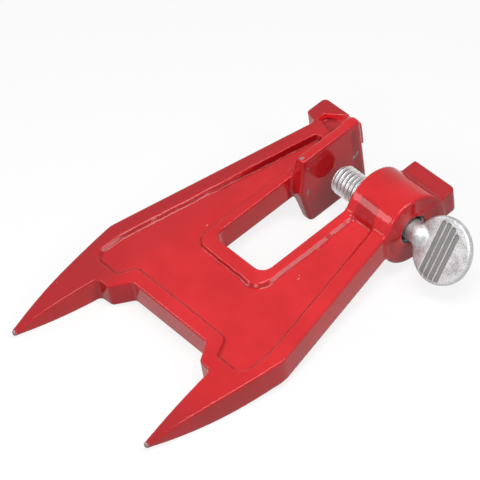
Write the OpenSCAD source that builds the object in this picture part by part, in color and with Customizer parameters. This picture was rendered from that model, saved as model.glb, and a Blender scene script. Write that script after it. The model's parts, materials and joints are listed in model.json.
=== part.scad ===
// Stump vise for a chainsaw bar: a cast frame with two spikes that are driven into a log,
// a fixed jaw, and a thumb screw that clamps the bar of the saw against it.
// Origin: centre of the fixed jaw's clamping face, on the axis of the screw.
// X runs along the screw from the jaw to its head, Y from the spikes to the strike blocks.
// The vise is shown as it lies on a floor, on the undersides of its spikes and the lower edge of its jaw.

/* [Frame] */
// Length from the spike tips to the strike faces
overall_length = 165; // [150:1:200]
// Width over the shoulders, the widest place
shoulder_width = 100.8; // [92:0.2:120]
// Distance from the strike faces back to the centre of the shoulder rounding
shoulder_setback = 105.2; // [95:0.2:112]
// Radius of the shoulders
shoulder_radius = 12; // [2:0.5:16]
// Width over the two arms at the strike faces, without the blocks
arm_width = 54.2; // [50:0.2:64]
// Thickness of the frame
frame_thickness = 12; // [9:0.2:16]
// Depth of the recessed web, the same on both faces
web_depth = 1.6; // [0.5:0.1:3]
// Width of the raised rim along the outer edge
rim_width = 6.5; // [4:0.1:8]
// Width of the rim along the floor of the notch between the spikes
notch_rim = 5.8; // [3:0.1:8]
// Width of the rim beside the steps of the notch
step_rim = 2.6; // [1.5:0.1:4]
// Radius of the small corners of the web
web_radius = 2.5; // [1:0.1:3]
// Radius of the big corner of the web next to the spikes
web_lobe_radius = 6; // [3:0.1:7]

/* [Slot] */
// Width of the slot between the arms
slot_width = 28.4; // [24:0.2:32]
// Depth of the slot from the strike faces
slot_depth = 80.8; // [70:0.2:90]
// Distance from the middle of the slot to the middle of the frame
slot_offset = 1.4; // [0:0.1:3]
// Radius of the corners of the slot
slot_radius = 4.5; // [1:0.5:8]
// Width over the raised lip around the slot
lip_width = 37.2; // [35:0.2:40]
// Width of the lip at the closed end of the slot
lip_end = 6.6; // [3:0.2:12]
// Outer radius of the corners of the lip
lip_radius = 6; // [2:0.5:9]

/* [Spikes] */
// Distance from the strike faces to the floor of the notch between the spikes
notch_setback = 118.2; // [114:0.2:124]
// Width of the floor of the notch
notch_width = 43.2; // [36:0.2:48]
// Width between the steps beside the notch
step_width = 53.4; // [50:0.2:58]
// Distance from the floor of the notch to the steps
step_depth = 7.9; // [5:0.1:9]
// Width between the spikes at their roots
root_width = 65.8; // [62:0.2:70]
// Radius of the corners of the notch and the steps
notch_radius = 1.8; // [0.5:0.1:2]
// Distance between the two spike tips
tip_spread = 78; // [70:0.2:88]
// Width of a spike tip
tip_width = 2.2; // [1.2:0.1:4]
// Thickness of a spike tip
tip_thickness = 2.2; // [1:0.1:4]
// Radius of the two corners of a spike tip
tip_round = 0.3; // [0.1:0.1:0.5]
// Drop of the top of a spike from the frame to its tip
tip_drop = 2.9; // [1:0.1:6]
// Bulge of the outer edge of a spike over a straight line
spike_bulge = 0.9; // [0:0.1:3]
// Length of the stretch where the top of a spike drops
spike_top_length = 34.5; // [20:0.5:44]
// Length of the stretch where the underside of a spike rises
spike_under_length = 46; // [25:0.5:46]

/* [Fixed jaw] */
// Height of the jaw above the screw axis
jaw_above = 17; // [14:0.1:22]
// Reach of the jaw below the screw axis
jaw_below = 18.2; // [14:0.1:22]
// Reach of the jaw from the screw axis towards the strike faces
jaw_front = 17.4; // [12:0.1:18]
// Reach of the jaw from the screw axis towards the spikes, at the screw axis
jaw_back = 17.6; // [15:0.1:24]
// The same reach at the top edge of the jaw
jaw_back_top = 14.1; // [11:0.1:15]
// The same reach at the bottom edge of the jaw
jaw_back_bottom = 14.8; // [11:0.1:15]
// Height by which the jaw face stands in front of the slot wall
jaw_proud = 5.8; // [4:0.1:7]
// Thickness of the jaw plate at its top and bottom edges
jaw_thickness = 4.3; // [3:0.1:6]
// Radius of the lower corners of the jaw
jaw_radius = 3; // [1:0.1:6]
// Radius of the upper corners of the jaw
jaw_top_radius = 2.5; // [0.5:0.1:4]

/* [Boss] */
// Distance from the strike faces to the screw axis
axis_setback = 22.5; // [19:0.1:26]
// Depth of the screw axis below the top of the frame
axis_drop = 6.9; // [5:0.1:9]
// Diameter of the boss
boss_diameter = 31.4; // [26:0.2:34]
// Length of the boss along the screw
boss_length = 23; // [20:0.1:28]

/* [Strike blocks] */
// Width over the two strike blocks
strike_width = 74.6; // [68:0.2:84]
// Depth of the strike blocks along the arms
strike_depth = 10.4; // [8:0.2:12]
// Radius of the outer corners of the strike blocks
strike_radius = 2.4; // [0.5:0.1:4]
// Distance from the screw axis to the place where the boss flank starts to widen
flank_start = 4; // [0:0.1:6]
// Depth of the pocket between the jaw and its strike block
pocket_depth = 3; // [1:0.1:5]
// Distance from the strike faces to the near wall of that pocket
pocket_setback = 12.4; // [11.6:0.1:14]
// Width of the rib between the web and that pocket
pocket_rib = 2.7; // [1.5:0.1:4]
// Width of that pocket where it opens at the strike face
pocket_mouth = 3.5; // [2:0.1:8]
// Distance from the inner corner of the right strike block to the slot wall
strike_inset = 1.7; // [0:0.1:4]

/* [Thumb screw] */
// Outer diameter of the thread, half an inch
thread_diameter = 12.7; // [8:0.1:14]
// Radial gap between the thread and its hole
thread_clearance = 0.05; // [0.02:0.01:0.1]
// Gap between the jaw face and the screw end as shown
screw_gap = 4.6; // [0.5:0.1:20]
// Length of the threaded shank
shank_length = 38.6; // [37:0.1:44]
// Chamfer at the end of the screw
screw_chamfer = 1; // [0.2:0.1:2]
// Diameter of the neck between the thread and the head
neck_diameter = 9.4; // [8:0.1:10]
// Distance from the end of the thread to the middle of the head
neck_length = 18.3; // [16:0.1:26]
// Length over which the neck runs into the face of the head
neck_run = 3.2; // [1:0.1:6]
// Diameter of the round flat head
head_diameter = 27.6; // [24:0.2:32]
// Thickness of the head
head_thickness = 3.4; // [2.4:0.1:5]
// Angle of the head about the screw, from the plane of the frame
head_angle = 49; // [0:1:180]
// Number of grooves across each side of the head
groove_count = 4; // [0:1:6]
// Distance from one groove to the next
groove_pitch = 2.65; // [2.4:0.05:3]
// Width of a groove
groove_width = 2; // [0.5:0.1:2.2]
// Depth of a groove
groove_depth = 0.5; // [0.1:0.05:0.8]
// Distance from the closed end of a groove to the edge of the head
groove_inset = 1; // [0.5:0.1:3]
// Diameter of the round core of the screw
core_diameter = 6; // [3:0.1:7]
// Length of the core
core_length = 40; // [20:0.5:44]
// Distance from the screw end to the core
core_cover = 3; // [2:0.5:6]

/* [Hidden] */

// Overshoot of a cut past the face that it opens
over = 1;
arc_steps = 8;
curve_steps = 16;
bar_facets = 64;
bore_facets = 96;

// Plan positions, measured from the origin on the jaw face
strike_y = axis_setback;
tip_y = strike_y - overall_length;
slot_wall_x = -jaw_proud;
slot_mid_x = slot_wall_x + slot_width / 2;
mid_x = slot_mid_x + slot_offset;
slot_end_y = strike_y - slot_depth;
notch_y = strike_y - notch_setback;
shoulder_y = strike_y - shoulder_setback;
strike_x = strike_width / 2;
strike_back = strike_y - strike_depth;
// How far the inner face of the jaw's strike block slants back towards the slot, and the pocket's near wall
block_rise = 1.8;
pocket_slant = 1.9;
// How deep the root of the jaw sits in the arm
jaw_seat = 0.5;
frame_top = axis_drop;
frame_bottom = frame_top - frame_thickness;
boss_start = slot_wall_x + slot_width;
boss_end = boss_start + boss_length;
boss_radius = boss_diameter / 2;
hole_radius = thread_diameter / 2 + thread_clearance;

// The screw, along X from its free end
screw_end = screw_gap;
thread_end = screw_end + shank_length;
head_x = thread_end + neck_length;
neck_end = head_x - head_diameter / 2 + neck_run / 2;

// Levels of the underside of a spike
tip_top = frame_top - tip_drop;
tip_bottom = tip_top - tip_thickness;

function unit(v) = v / norm(v);
function lerp(a, b, t) = a + (b - a) * t;

// Replaces the corner b between a and c by an arc of radius r
function corner(a, b, c, r) =
    r <= 0 ? [b] :
    let (
        u = unit(a - b),
        v = unit(c - b),
        half = acos(max(-1, min(1, u * v))) / 2,
        reach = r / tan(half),
        centre = b + unit(u + v) * (r / sin(half)),
        from = b + u * reach - centre,
        to = b + v * reach - centre,
        start = atan2(from.y, from.x),
        turn = (atan2(to.y, to.x) - start + 540) % 360 - 180
    )
    [for (i = [0:arc_steps]) let (a = start + turn * i / arc_steps) centre + r * [cos(a), sin(a)]];

// Outline through the given [x, y, radius] corners
function rounded(points) =
    let (n = len(points), p = [for (q = points) [q.x, q.y]])
    [for (i = [0:n - 1]) each corner(p[(i + n - 1) % n], p[i], p[(i + 1) % n], points[i][2])];

// Mirrors half an outline, given from the far end to the middle, to the other side of the frame
function both_sides(half) = concat(
    [for (p = half) [mid_x + p.x, p.y, p[2]]],
    [for (i = [len(half) - 1:-1:0]) [mid_x - half[i].x, half[i].y, half[i][2]]]);

// Half width over the outer edges of the arms at y, a straight taper from the shoulders
function arm_half(y) = lerp(arm_width / 2, shoulder_width / 2, (strike_y - y) / shoulder_setback);

// Outer edge of a spike: a shallow arc from the shoulder to the tip
function spike_edge() =
    let (
        from = [shoulder_width / 2, shoulder_y],
        to = [tip_spread / 2 + tip_width / 2, tip_y + tip_width / 2],
        out = unit([from.y - to.y, to.x - from.x])
    )
    [for (i = [1:curve_steps])
        let (t = i / curve_steps, p = lerp(from, to, t) + out * spike_bulge * 4 * t * (1 - t))
        [p.x, p.y, 0]];

// How far the root of a spike lies below the step beside it
root_slant = 0.6;
half_plan = concat(
    [[arm_half(strike_back), strike_back, 0], [shoulder_width / 2, shoulder_y, shoulder_radius]],
    spike_edge(),
    [
        [tip_spread / 2 + tip_width / 2 - tip_round, tip_y, tip_round],
        [tip_spread / 2 - tip_width / 2 + tip_round, tip_y, tip_round],
        [root_width / 2, notch_y - step_depth - root_slant, notch_radius],
        [step_width / 2, notch_y - step_depth, notch_radius],
        [notch_width / 2, notch_y, notch_radius]
    ]);

// Side view of the frame in Y and Z: level, then thinning along the spikes to their tips
function ease(t) = t * t;
top_line = [for (i = [0:curve_steps])
    let (t = i / curve_steps) [lerp(tip_y + spike_top_length, tip_y, t), frame_top - tip_drop * ease(t)]];
under_line = [for (i = [0:curve_steps])
    let (t = i / curve_steps)
    [lerp(tip_y + spike_under_length, tip_y, t), lerp(frame_bottom, tip_bottom, ease(t))]];
side_view = concat(
    [[strike_y, frame_bottom], [strike_y, frame_top]],
    top_line,
    [for (i = [curve_steps:-1:0]) under_line[i]]);

// Web: parallel to the outer edge at the rim, with a lobe into each spike and a bay behind the notch
lobe_reach = 2.3;
lobe_spread = 0.3;
bay_margin = 3.6;
lobe_y = notch_y - lobe_reach;
function web_half(y) = arm_half(y) - rim_width;
function web_side(side, end_y) = [
    [mid_x + side * web_half(end_y), end_y, web_radius],
    [mid_x + side * web_half(shoulder_y), shoulder_y, 0],
    [mid_x + side * (web_half(shoulder_y) + lobe_spread), lobe_y, web_lobe_radius],
    [mid_x + side * (step_width / 2 + step_rim), lobe_y, web_radius],
    [mid_x + side * (notch_width / 2 + bay_margin), notch_y + notch_rim, web_radius]];
web_end_boss = -boss_radius / 2;
pocket_y = strike_y - pocket_setback;
web_end_jaw = pocket_y - pocket_rib;
function reversed(list) = [for (i = [len(list) - 1:-1:0]) list[i]];
web_plan = rounded(concat(web_side(1, web_end_boss), reversed(web_side(-1, web_end_jaw))));

lip_plan = rounded([
    [slot_mid_x - lip_width / 2, strike_y + over, 0],
    [slot_mid_x - lip_width / 2, slot_end_y - lip_end, lip_radius],
    [slot_mid_x + lip_width / 2, slot_end_y - lip_end, lip_radius],
    [slot_mid_x + lip_width / 2, strike_y + over, 0]]);

slot_plan = rounded([
    [slot_wall_x, strike_y + over, 0],
    [slot_wall_x, slot_end_y, slot_radius],
    [boss_start, slot_end_y, slot_radius],
    [boss_start, strike_y + over, 0]]);

// Pocket between the jaw and its strike block, open at the strike face
pocket_plan = [
    [mid_x - arm_half(pocket_y), pocket_y + pocket_slant],
    [slot_mid_x - lip_width / 2, pocket_y],
    [slot_mid_x - lip_width / 2, strike_y + over],
    [slot_mid_x - lip_width / 2 - pocket_mouth, strike_y + over]];

// The fixed jaw in Y and Z, and its section in X and Z, which is thickest where it meets the arm
jaw_view = rounded([
    [jaw_front, jaw_above, jaw_top_radius],
    [-jaw_back_top, jaw_above, jaw_top_radius],
    [-jaw_back, 0, 0],
    [-jaw_back_bottom, -jaw_below, jaw_radius],
    [jaw_front, -jaw_below, jaw_radius]]);
jaw_section = [
    [0, jaw_above + over],
    [-jaw_thickness, jaw_above + over],
    [-jaw_thickness, jaw_above],
    [slot_wall_x - jaw_seat, frame_top - jaw_seat],
    [slot_wall_x - jaw_seat, frame_bottom + jaw_seat],
    [-jaw_thickness, -jaw_below],
    [-jaw_thickness, -jaw_below - over],
    [0, -jaw_below - over]];

// The strike blocks and the flank that widens from the boss to its block
jaw_block_plan = rounded([
    [slot_wall_x, strike_y, 0],
    [mid_x - strike_x, strike_y, strike_radius],
    [mid_x - strike_x, strike_back, strike_radius / 2],
    [mid_x - arm_half(strike_back - block_rise) + over, strike_back - block_rise, 0],
    [slot_wall_x, strike_back - block_rise, 0]]);
boss_block_plan = rounded([
    [boss_start + strike_inset, strike_y, strike_radius / 2],
    [boss_start + strike_inset, 0, 0],
    [boss_end, 0, 0],
    [boss_end, flank_start, strike_radius / 2],
    [mid_x + strike_x, strike_back, strike_radius / 2],
    [mid_x + strike_x, strike_y, strike_radius]]);

// The vise lies on the undersides of its spikes and on the rounded lower corner of its jaw. Each point
// under a spike gives a tilt at which a line under it and the jaw is level, and the least one is first.
jaw_corner = [-jaw_back_bottom + jaw_radius, -jaw_below + jaw_radius];
function level_tilt(p) =
    asin(jaw_radius / norm(jaw_corner - p)) - atan2(jaw_corner.y - p.y, jaw_corner.x - p.x);
rest_tilt = min([for (p = under_line) level_tilt(p)]);

module lying() {
    rotate([rest_tilt, 0, 0]) children();
}

// Extrudes an outline given in Y and Z along X, from one x to another
module along_x(from, to) {
    translate([from, 0, 0]) rotate([90, 0, 90]) linear_extrude(height = to - from) children();
}

// Round bar along X
module bar(from, to, d1, d2, fn = bar_facets) {
    translate([from, 0, 0]) rotate([0, 90, 0]) cylinder(h = to - from, d1 = d1, d2 = d2, $fn = fn);
}

module web_recess(depth) {
    linear_extrude(height = depth)
        difference() {
            polygon(web_plan);
            polygon(lip_plan);
        }
}

module frame_plate() {
    difference() {
        intersection() {
            translate([0, 0, frame_bottom - over]) linear_extrude(height = frame_thickness + 2 * over)
                polygon(rounded(both_sides(half_plan)));
            along_x(mid_x - shoulder_width, mid_x + shoulder_width) polygon(side_view);
        }
        translate([0, 0, frame_bottom - over]) linear_extrude(height = frame_thickness + 2 * over)
            polygon(slot_plan);
        translate([0, 0, frame_top - web_depth]) web_recess(web_depth + over);
        translate([0, 0, frame_bottom - over]) web_recess(web_depth + over);
    }
}

module strike_blocks() {
    translate([0, 0, frame_bottom]) linear_extrude(height = frame_thickness) {
        polygon(jaw_block_plan);
        polygon(boss_block_plan);
    }
}

module jaw() {
    intersection() {
        along_x(slot_wall_x - over, 0) polygon(jaw_view);
        translate([0, jaw_front + over, 0]) rotate([90, 0, 0])
            linear_extrude(height = jaw_front + jaw_back + 2 * over) polygon(jaw_section);
    }
}

module boss() {
    bar(boss_start, boss_end, boss_diameter, boss_diameter, bore_facets);
    intersection() {
        bar(boss_start + over, mid_x + strike_x, boss_diameter, boss_diameter, bore_facets);
        translate([0, 0, -boss_radius]) linear_extrude(height = boss_diameter) polygon(boss_block_plan);
    }
}

module tapped_hole() {
    bore = 2 * hole_radius;
    bar(boss_start - over, mid_x + strike_x + over, bore, bore, bore_facets);
}

module cast_body() {
    color("firebrick") lying() difference() {
        union() {
            difference() {
                union() {
                    frame_plate();
                    strike_blocks();
                }
                translate([0, 0, frame_top - pocket_depth]) linear_extrude(height = pocket_depth + over)
                    polygon(pocket_plan);
            }
            jaw();
            boss();
        }
        tapped_hole();
    }
}

module core(gap) {
    bar(screw_end + core_cover - gap, screw_end + core_cover + core_length + gap,
        core_diameter + 2 * gap, core_diameter + 2 * gap);
}

module screw_core() {
    color("silver") core(0);
}

module head_grooves() {
    for (side = [-1, 1], i = [0:groove_count - 1])
        translate([(i - (groove_count - 1) / 2) * groove_pitch - groove_width / 2,
            -head_diameter,
            side > 0 ? head_thickness / 2 - groove_depth : -head_thickness / 2 - over])
            cube([groove_width, 1.5 * head_diameter - groove_inset, groove_depth + over]);
}

module thumb_screw() {
    color("lightgray") difference() {
        union() {
            bar(screw_end, screw_end + screw_chamfer, thread_diameter - 2 * screw_chamfer, thread_diameter);
            bar(screw_end + screw_chamfer, thread_end - screw_chamfer, thread_diameter, thread_diameter);
            bar(thread_end - screw_chamfer, thread_end, thread_diameter, neck_diameter);
            bar(thread_end, neck_end, neck_diameter, neck_diameter);
            bar(neck_end, neck_end + neck_run, neck_diameter, head_thickness);
            translate([head_x, 0, 0]) rotate([rest_tilt + head_angle, 0, 0]) difference() {
                translate([0, 0, -head_thickness / 2])
                    cylinder(h = head_thickness, d = head_diameter, $fn = bore_facets);
                head_grooves();
            }
        }
        core(thread_clearance);
    }
}

cast_body();
screw_core();
thumb_screw();
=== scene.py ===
"""Dresses a stump vise for chainsaw bars: one painted casting and its zinc plated thumb screw.

Lengths are in millimetres in the vise's own frame, and turn into metres when a mesh is made. The casting is
shaped flat, in the plane of its plate, and then laid down at the angle at which the vise rests on a floor.
"""
import json
import logging
import math
from dataclasses import dataclass, field
from enum import Enum
from itertools import product
from typing import Any, Callable, Mapping, Sequence

import bmesh
import bpy
import numpy as np
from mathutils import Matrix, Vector


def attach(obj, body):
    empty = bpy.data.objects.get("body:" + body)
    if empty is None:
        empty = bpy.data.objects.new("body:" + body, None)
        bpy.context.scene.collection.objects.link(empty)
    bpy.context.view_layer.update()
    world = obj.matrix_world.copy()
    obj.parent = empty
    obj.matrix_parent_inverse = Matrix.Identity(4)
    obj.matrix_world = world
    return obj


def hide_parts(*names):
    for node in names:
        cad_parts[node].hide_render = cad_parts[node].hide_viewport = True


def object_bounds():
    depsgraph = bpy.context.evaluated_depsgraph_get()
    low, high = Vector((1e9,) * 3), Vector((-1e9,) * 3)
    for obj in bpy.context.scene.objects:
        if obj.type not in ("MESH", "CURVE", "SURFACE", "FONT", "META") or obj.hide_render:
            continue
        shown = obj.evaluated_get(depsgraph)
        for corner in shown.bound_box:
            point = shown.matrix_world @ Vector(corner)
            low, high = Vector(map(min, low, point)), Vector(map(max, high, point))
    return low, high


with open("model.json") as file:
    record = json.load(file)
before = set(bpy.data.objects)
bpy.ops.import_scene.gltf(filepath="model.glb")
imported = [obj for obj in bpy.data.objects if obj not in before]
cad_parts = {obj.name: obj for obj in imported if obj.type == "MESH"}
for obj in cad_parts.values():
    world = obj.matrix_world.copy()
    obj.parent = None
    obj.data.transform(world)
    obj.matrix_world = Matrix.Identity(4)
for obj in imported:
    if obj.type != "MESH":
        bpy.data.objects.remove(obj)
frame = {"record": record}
cad_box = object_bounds()

MM = 0.001
INCH = 25.4
THREADS_PER_INCH = 13
PITCH = INCH / THREADS_PER_INCH
Array = np.ndarray
Colour = tuple[float, float, float]
Point = tuple[float, float, float]
Span = tuple[float, float]
Line = tuple[tuple[float, float], tuple[float, float]]
WHITE: Colour = (1.0, 1.0, 1.0)
log = logging.getLogger("stump_vise")


class Body(Enum):
    """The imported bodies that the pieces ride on."""

    CASTING = "vise_body"
    SCREW = "screw_turning"


class Paint(Enum):
    """The record's material slots."""

    RED = "red_paint"
    ZINC = "zinc"


class Arm(Enum):
    """The two arms of the frame, as signs of the distance from its middle."""

    JAW = -1
    BOSS = 1


def round_join(a: Array, b: Array, radius: float | Array) -> Array:
    """Joins two solids with a fillet where they meet.

    Args:
        a: Signed distance to the first solid, negative inside.
        b: Signed distance to the second solid.
        radius: Radius of the fillet.

    Returns:
        Signed distance to the joined solid.
    """
    corner = np.hypot(np.maximum(radius - a, 0), np.maximum(radius - b, 0))
    return np.maximum(np.minimum(a, b), radius) - corner


def round_meet(a: Array, b: Array, radius: float | Array) -> Array:
    """Keeps what lies in both solids and rounds the edge where their faces meet.

    Args:
        a: Signed distance to the first solid, negative inside.
        b: Signed distance to the second solid.
        radius: Radius of the rounded edge.

    Returns:
        Signed distance to the common part.
    """
    corner = np.hypot(np.maximum(a + radius, 0), np.maximum(b + radius, 0))
    return np.minimum(np.maximum(a, b), -radius) + corner


def rise(value: Array, span: Span) -> Array:
    """Rises smoothly from 0 to 1 while value goes across the span.

    Args:
        value: Where each point lies.
        span: Where the rise starts and where it ends.

    Returns:
        The heights.
    """
    t = np.clip((value - span[0]) / (span[1] - span[0]), 0, 1)
    return t * t * (3 - 2 * t)


def bevel(value: Array, soft: float = 0.2) -> Array:
    """Rises from 0 to 1 while value goes from 0 to 1, in a straight line with softened ends.

    Args:
        value: Where on the slope each point lies.
        soft: Share of the slope over which each end is rounded.

    Returns:
        The heights.
    """
    t = np.clip(value, 0, 1)
    t, upper = np.minimum(t, 1 - t), t > 0.5
    low = np.where(t < soft, t * t / (2 * soft), t - soft / 2) / (1 - soft)
    return np.where(upper, 1 - low, low)


@dataclass(frozen=True)
class Corner:
    """One corner of an outline, which may be rounded."""

    x: float
    y: float
    radius: float = 0.0


class Outline:
    """A closed flat outline with rounded corners."""

    ARC_STEPS = 6

    def __init__(self, corners: Sequence[Corner]) -> None:
        """Replaces each rounded corner by a short arc.

        Args:
            corners: The corners in order, in either direction.
        """
        count = len(corners)
        points: list[Array] = []
        for i, corner in enumerate(corners):
            before, after = corners[i - 1], corners[(i + 1) % count]
            points.extend(self._arc(before, corner, after))
        self.points = np.array(points)

    @classmethod
    def _arc(cls, before: Corner, corner: Corner, after: Corner) -> list[Array]:
        """Points that round one corner between its two neighbours.

        Args:
            before: The corner before it.
            corner: The corner itself.
            after: The corner after it.

        Returns:
            The points of the arc, or only the corner's own place where it is sharp.
        """
        at = np.array([corner.x, corner.y])
        if corner.radius <= 0:
            return [at]
        back = np.array([before.x, before.y]) - at
        on = np.array([after.x, after.y]) - at
        back /= np.linalg.norm(back)
        on /= np.linalg.norm(on)
        half = math.acos(max(-1.0, min(1.0, float(back @ on)))) / 2
        middle = back + on
        centre = at + middle / np.linalg.norm(middle) * corner.radius / math.sin(half)
        first = at + back * corner.radius / math.tan(half) - centre
        last = at + on * corner.radius / math.tan(half) - centre
        start = math.atan2(first[1], first[0])
        turn = (math.atan2(last[1], last[0]) - start + 3 * math.pi) % (2 * math.pi) - math.pi
        angles = [start + turn * k / cls.ARC_STEPS for k in range(cls.ARC_STEPS + 1)]
        return [centre + corner.radius * np.array([math.cos(a), math.sin(a)]) for a in angles]

    def distance(self, x: Array, y: Array) -> Array:
        """Signed distance from points to the outline, negative inside it.

        Args:
            x: First coordinates.
            y: Second coordinates, which broadcast against the first.

        Returns:
            The distances, in the broadcast shape.
        """
        x, y = np.broadcast_arrays(x, y)
        nearest = np.full(x.shape, np.inf)
        inside = np.zeros(x.shape, bool)
        for a, b in zip(self.points, np.roll(self.points, -1, axis=0)):
            along = b - a
            px, py = x - a[0], y - a[1]
            share = np.clip((px * along[0] + py * along[1]) / (along @ along), 0, 1)
            gap = (px - share * along[0]) ** 2 + (py - share * along[1]) ** 2
            nearest = np.minimum(nearest, gap)
            if along[1] != 0:
                spans = (a[1] > y) != (b[1] > y)
                inside ^= spans & (px < along[0] * py / along[1])
        return np.where(inside, -1.0, 1.0) * np.sqrt(nearest)


@dataclass(frozen=True)
class Ripple:
    """The slow unevenness of a sand casting: a few waves in random directions."""

    height: float
    wavelength: float
    seed: int
    waves: int = 7
    spread: Span = (0.6, 1.7)

    def at(self, x: Array, y: Array, z: Array | float = 0.0) -> Array:
        """Height of the unevenness at each point, about zero on average.

        Args:
            x: First coordinates.
            y: Second coordinates.
            z: Third coordinates.

        Returns:
            The heights, in millimetres.
        """
        random = np.random.RandomState(self.seed)
        total: Array | float = 0.0
        for _ in range(self.waves):
            direction = random.normal(size=3)
            length = self.wavelength * random.uniform(*self.spread)
            direction *= 2 * math.pi / (length * np.linalg.norm(direction))
            phase = random.uniform(0, 2 * math.pi)
            total = total + np.sin(direction[0] * x + direction[1] * y + direction[2] * z + phase)
        return self.height * total / math.sqrt(self.waves)


@dataclass(frozen=True)
class Datum:
    """The plate's own planes and middle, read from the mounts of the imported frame."""

    tilt: float
    middle_x: float
    strike_y: float
    tip_y: float
    level: float

    @classmethod
    def read(cls, record: Mapping[str, Any]) -> "Datum":
        """Works the planes out from the strike faces and the spike tips.

        Args:
            record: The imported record.

        Returns:
            The planes, in millimetres and radians.
        """
        mounts = {mount["name"]: mount for mount in record["mounts"]}
        strike = mounts["strike_face_jaw_side"]
        tips = [mounts["spike_jaw_side"]["pos_m"], mounts["spike_screw_side"]["pos_m"]]
        tilt = math.atan2(strike["axis"][2], strike["axis"][1])
        c, s = math.cos(tilt), math.sin(tilt)
        _, y, z = (value / MM for value in strike["pos_m"])
        return cls(
            tilt=tilt,
            middle_x=(tips[0][0] + tips[1][0]) / 2 / MM,
            strike_y=y * c + z * s,
            tip_y=(tips[0][1] * c + tips[0][2] * s) / MM,
            level=z * c - y * s,
        )


Field = Callable[[Array, Array, Array], Array]


@dataclass(frozen=True)
class Sampled:
    """A solid given by its signed distance, meshed on a grid of cubes between two corners."""

    distance: Field
    low: Point
    high: Point
    step: float
    probe: float = 0.02
    least_slope: float = 0.5
    least_length: float = 0.1
    CORNERS = 8

    def skin(self) -> tuple[Array, Array]:
        """Meshes the surface: one point in each cube that it passes, pulled onto it.

        Returns:
            The points in millimetres, and the four-sided faces, which point outwards.
        """
        axes = [np.arange(a, b + self.step, self.step) for a, b in zip(self.low, self.high)]
        x, y, z = np.meshgrid(*axes, indexing="ij", sparse=True)
        values = np.broadcast_to(self.distance(x, y, z), [len(axis) for axis in axes])
        inside = values < 0
        cells = tuple(n - 1 for n in values.shape)
        held = sum(
            inside[i:i + cells[0], j:j + cells[1], k:k + cells[2]].astype(np.int8)
            for i, j, k in product((0, 1), repeat=3)
        )
        mixed = (held > 0) & (held < self.CORNERS)
        number = np.full(cells, -1)
        number[mixed] = np.arange(np.count_nonzero(mixed))
        cubes = np.argwhere(mixed)
        points = self._crossings(values, cubes) * self.step + np.array(self.low)
        return self._settle(points), self._faces(inside, number)

    @staticmethod
    def _crossings(values: Array, cubes: Array) -> Array:
        """Average of the places where the surface crosses each cube's edges.

        Args:
            values: Distances at the grid's points.
            cubes: Numbers of the cubes that the surface passes, along each axis.

        Returns:
            The places, in grid steps.
        """
        total = np.zeros(cubes.shape)
        hits = np.zeros(len(cubes))
        for axis in range(3):
            others = [other for other in range(3) if other != axis]
            for pair in product((0, 1), repeat=2):
                start = cubes.copy()
                start[:, others] += pair
                end = start.copy()
                end[:, axis] += 1
                a, b = values[tuple(start.T)], values[tuple(end.T)]
                crossed = (a < 0) != (b < 0)
                share = np.where(crossed, a / np.where(crossed, a - b, 1), 0)
                place = start.astype(float)
                place[:, axis] += share
                total += place * crossed[:, None]
                hits += crossed
        return total / hits[:, None]

    @staticmethod
    def _faces(inside: Array, number: Array) -> Array:
        """One four-sided face around each grid edge that the surface crosses.

        Args:
            inside: Whether each point of the grid is inside.
            number: Number of the point that each cube holds.

        Returns:
            The faces, which point outwards.
        """
        faces = []
        for axis in range(3):
            first, second = (axis + 1) % 3, (axis + 2) % 3
            near = [slice(1, -1)] * 3
            near[axis] = slice(0, -1)
            far = list(near)
            far[axis] = slice(1, None)
            here, there = inside[tuple(near)], inside[tuple(far)]
            at = np.argwhere(here != there)
            leaving = here[tuple(at.T)]
            at += [0 if k == axis else 1 for k in range(3)]
            ring = []
            for back in ((1, 1), (0, 1), (0, 0), (1, 0)):
                cube = at.copy()
                cube[:, first] -= back[0]
                cube[:, second] -= back[1]
                ring.append(number[tuple(cube.T)])
            quads = np.stack(ring, axis=1)
            faces.append(np.where(leaving[:, None], quads, quads[:, ::-1]))
        return np.concatenate(faces)

    def _slope(self, points: Array) -> tuple[Array, Array]:
        """Looks at the distance at each point and a little beside it.

        Args:
            points: The points.

        Returns:
            The distances, and their gradients.
        """
        x, y, z = points.T
        probe = self.probe
        here = self.distance(x, y, z)
        slope = np.stack([
            self.distance(x + probe, y, z) - here,
            self.distance(x, y + probe, z) - here,
            self.distance(x, y, z + probe) - here,
        ], axis=1) / probe
        return here, slope

    def _settle(self, points: Array, rounds: int = 2) -> Array:
        """Moves the points along the slope of the distance until they lie on the surface.

        Args:
            points: Points near the surface.
            rounds: How many times they are moved.

        Returns:
            The points on the surface.
        """
        for _ in range(rounds):
            here, slope = self._slope(points)
            strength = np.maximum((slope ** 2).sum(axis=1), self.least_slope ** 2)
            move = slope * (here / strength)[:, None]
            points = points - np.clip(move, -self.step / 2, self.step / 2)
        return points

    def normals(self, points: Array) -> Array:
        """Outward directions at points on the surface."""
        _, slope = self._slope(points)
        return slope / np.maximum(np.linalg.norm(slope, axis=1), self.least_length)[:, None]

    def relief(self, points: Array, faces: Array, reach: float, rounds: int = 2) -> Array:
        """How hollow the surface is around each point.

        Args:
            points: Points on the surface.
            faces: The faces between them, over which the result is smoothed.
            reach: How far around a point counts, in millimetres.
            rounds: How many times it is smoothed.

        Returns:
            About 0 on flat ground, up to 1 in a hollow and down to -1 on a ridge.
        """
        normal = self.normals(points)
        above = self.distance(*(points + reach * normal).T)
        below = self.distance(*(points - reach * normal).T)
        values = np.clip(-(above + below) / reach, -1, 1)
        shared = np.bincount(faces.ravel(), minlength=len(points))
        for _ in range(rounds):
            means = np.repeat(values[faces].mean(axis=1), faces.shape[1])
            sums = np.bincount(faces.ravel(), weights=means, minlength=len(points))
            values = sums / np.maximum(shared, 1)
        return values


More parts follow.
